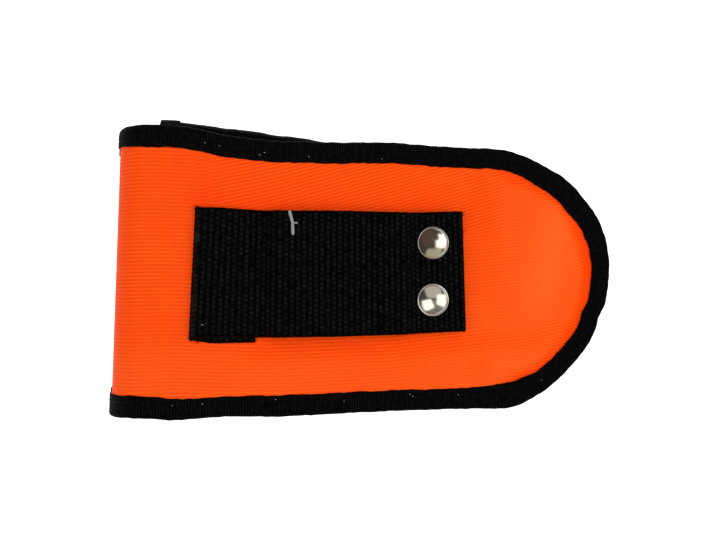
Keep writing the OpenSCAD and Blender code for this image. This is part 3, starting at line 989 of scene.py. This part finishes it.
patch_x0 = FOLD_X + FLAP_NOSE + 12
patch_x1, patch_y = patch_x0 + 24, 27
hook = pad("hook_pad", patch_x0, patch_x1, patch_y,
           lambda x, y, h: np.stack([x, y, FLAP_MID + CLOTH / 2 + SEAT + h], axis=-1), 0.8, fuzz(81, 0.15))
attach(dress(hook, HOOK_PAINT, "touch_fastener", "hook_patch"), "flap")
loop_pad = pad("loop_pad", patch_x0, patch_x1, patch_y,
               lambda x, y, h: np.stack([x, y, FRONT_MID - CLOTH / 2 - SEAT - h], axis=-1), 0.8,
               fuzz(82, 0.15))
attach(dress(loop_pad, HOOK_PAINT, "touch_fastener", "loop_patch"), "pouch")
stud_pad = pad("stud_web", SNAP_X - 12, SNAP_X + 12, WEB_W / 2 - 2,
               lambda u, y, h: back_place(u, y, -CLOTH / 2 - SEAT - h), WALL - 0.3,
               lambda u, y: weave_height(u, y, 0) - 0.1, step=0.6)
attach(dress(stud_pad, WEB_PAINT, "black_webbing", "stud_patch"), "pouch")


# -------------------- stage, light and camera

LOOK_AT = Vector((-0.0071, 0.0006, 0.020))
DISTANCE, TILT, WIDE = 0.262, math.radians(7.8), 0.3032     # of the camera; WIDE is what it sees at LOOK_AT
EYE = LOOK_AT + Vector((-math.sin(TILT), 0, math.cos(TILT))) * DISTANCE
CAP_LIGHT = 4.0          # power of the caps' lamps for each square metre


def area(name, size, power, color=(1, 1, 1)):
    """A rectangular light, its size in metres."""
    data = bpy.data.lights.new(name, "AREA")
    data.shape, data.size, data.size_y = "RECTANGLE", *size
    data.energy, data.color = power, color
    obj = bpy.data.objects.new(name, data)
    bpy.context.scene.collection.objects.link(obj)
    return obj


def soft_box(name, at, side, power):
    """A square light that faces the object and doesn't show in the metal."""
    obj = area(name, (side, side), power)
    obj.location = at
    obj.rotation_mode = "QUATERNION"
    obj.rotation_quaternion = (LOOK_AT - Vector(at)).to_track_quat("-Z", "Y")
    obj.visible_glossy = False


def floor():
    """A white table that glows a little, as a light table does, so that it stays clean round the object."""
    p = Paint("table_white", (0.9, 0.9, 0.9), 0.9, Specular_IOR_Level=0.0)
    p.shader.inputs["Emission Color"].default_value = (1, 1, 1, 1)
    p.shader.inputs["Emission Strength"].default_value = 0.75
    size, height = 3000, -0.3
    corners = [(x * size, y * size, height) for x, y in ((-1, -1), (1, -1), (1, 1), (-1, 1))]
    p.on(add_mesh("table", corners, [[0, 1, 2, 3]]))


def world(color, strength, mirrored):
    """An even room. Glossy surfaces mirror a darker one, so that the caps' lamps are what shows in them."""
    w = bpy.data.worlds.new("studio")
    w.use_nodes = True
    tree = w.node_tree
    lit = tree.nodes["Background"]
    lit.inputs[0].default_value, lit.inputs[1].default_value = (*color, 1), strength
    seen = tree.nodes.new("ShaderNodeBackground")
    seen.inputs[0].default_value = (*mirrored, 1)
    mix = tree.nodes.new("ShaderNodeMixShader")
    tree.links.new(tree.nodes.new("ShaderNodeLightPath").outputs["Is Glossy Ray"], mix.inputs[0])
    tree.links.new(lit.outputs[0], mix.inputs[1])
    tree.links.new(seen.outputs[0], mix.inputs[2])
    tree.links.new(mix.outputs[0], tree.nodes["World Output"].inputs["Surface"])
    bpy.context.scene.world = w


def mirrored_lamp(name, cap, color, spot, half, turn):
    """A soft lamp that one cap mirrors as a patch. The patch's middle, half sizes and turn in degrees are on
    the cap's disc, whose rim is 1, and each point goes where the dome mirrors it to the camera."""
    distance = 0.6
    centre = face_place(*cap, SNAP_STACK + WEB_T + 2) * MM
    axis = np.array([math.sin(SLOPE), 0, math.cos(SLOPE)])
    to_eye = unit(np.array(EYE) - centre)
    right, up = np.array([math.cos(TILT), 0, math.sin(TILT)]), np.array([0.0, 1.0, 0.0])

    def mirrored(a, b):
        side = (a * right + b * up) * DOME_FOOT / DOME_R
        side -= side.dot(axis) * axis
        n = side + axis * math.sqrt(max(0.0, 1 - side.dot(side)))
        return centre + distance * (2 * n.dot(to_eye) * n - to_eye)

    c, q = math.cos(math.radians(turn)), math.sin(math.radians(turn))
    ends = [mirrored(spot[0] + k * half[0] * c, spot[1] + k * half[0] * q) for k in (-1, 1)]
    tops = [mirrored(spot[0] - k * half[1] * q, spot[1] + k * half[1] * c) for k in (-1, 1)]
    wide, tall = (float(np.linalg.norm(b - a)) for a, b in (ends, tops))
    obj = area(name, (wide, tall), wide * tall * CAP_LIGHT, color)
    place = mirrored(*spot)
    z = unit(place - centre)
    x = unit(ends[1] - ends[0])
    x = unit(x - x.dot(z) * z)
    turned = np.stack([x, np.cross(z, x), z, place], axis=1)
    obj.matrix_world = Matrix([*turned.tolist(), [0, 0, 0, 1]])
    obj.visible_camera = False
    return obj


floor()
world((0.92, 0.95, 1.0), 0.16, (0.055, 0.050, 0.043))
soft_box("window", (0.34, -0.05, 0.40), 0.4, 1.5)
soft_box("lamp", (-0.30, -0.10, 0.45), 0.4, 1.3)
soft_box("overhead", (-0.02, 0.25, 0.60), 0.5, 1.5)

cam_data = bpy.data.cameras.new("camera")
cam_data.sensor_width, cam_data.lens = 36, 36 * DISTANCE / WIDE
cam_data.clip_start, cam_data.clip_end = 0.01, 20
camera = bpy.data.objects.new("camera", cam_data)
bpy.context.scene.collection.objects.link(camera)
camera.location, camera.rotation_euler = EYE, (0, -TILT, 0)
scene = bpy.context.scene
scene.camera = camera
scene.view_settings.view_transform = "Standard"

# What each cap mirrors: colour, and the patch's middle, half sizes and turn.
WHITE, BEIGE, OLIVE = (1.0, 0.98, 0.92), (0.36, 0.345, 0.29), (0.30, 0.285, 0.19)
GREY, MAROON = (0.11, 0.105, 0.095), (0.032, 0.008, 0.006)
LAMPS = {"upper_cap": ((WHITE, (.46, -.06), (.46, .33), 6), (WHITE, (.58, .28), (.30, .32), -10),
                       (OLIVE, (.0, -.74), (.95, .34), 0), (MAROON, (-.45, .30), (.62, .62), 20)),
         "lower_cap": ((WHITE, (-.48, -.32), (.39, .40), 18), (WHITE, (.52, .0), (.40, .44), -10),
                       (BEIGE, (-.05, .58), (1.0, .50), 0), (GREY, (0, -.5), (1.0, .70), 0))}
for name, patches in LAMPS.items():
    group = bpy.data.collections.new(name)
    group.objects.link(caps[name])
    for i, patch in enumerate(patches):
        made = mirrored_lamp(f"{name}_lamp_{i}", snaps[name], *patch)
        made.light_linking.receiver_collection = group
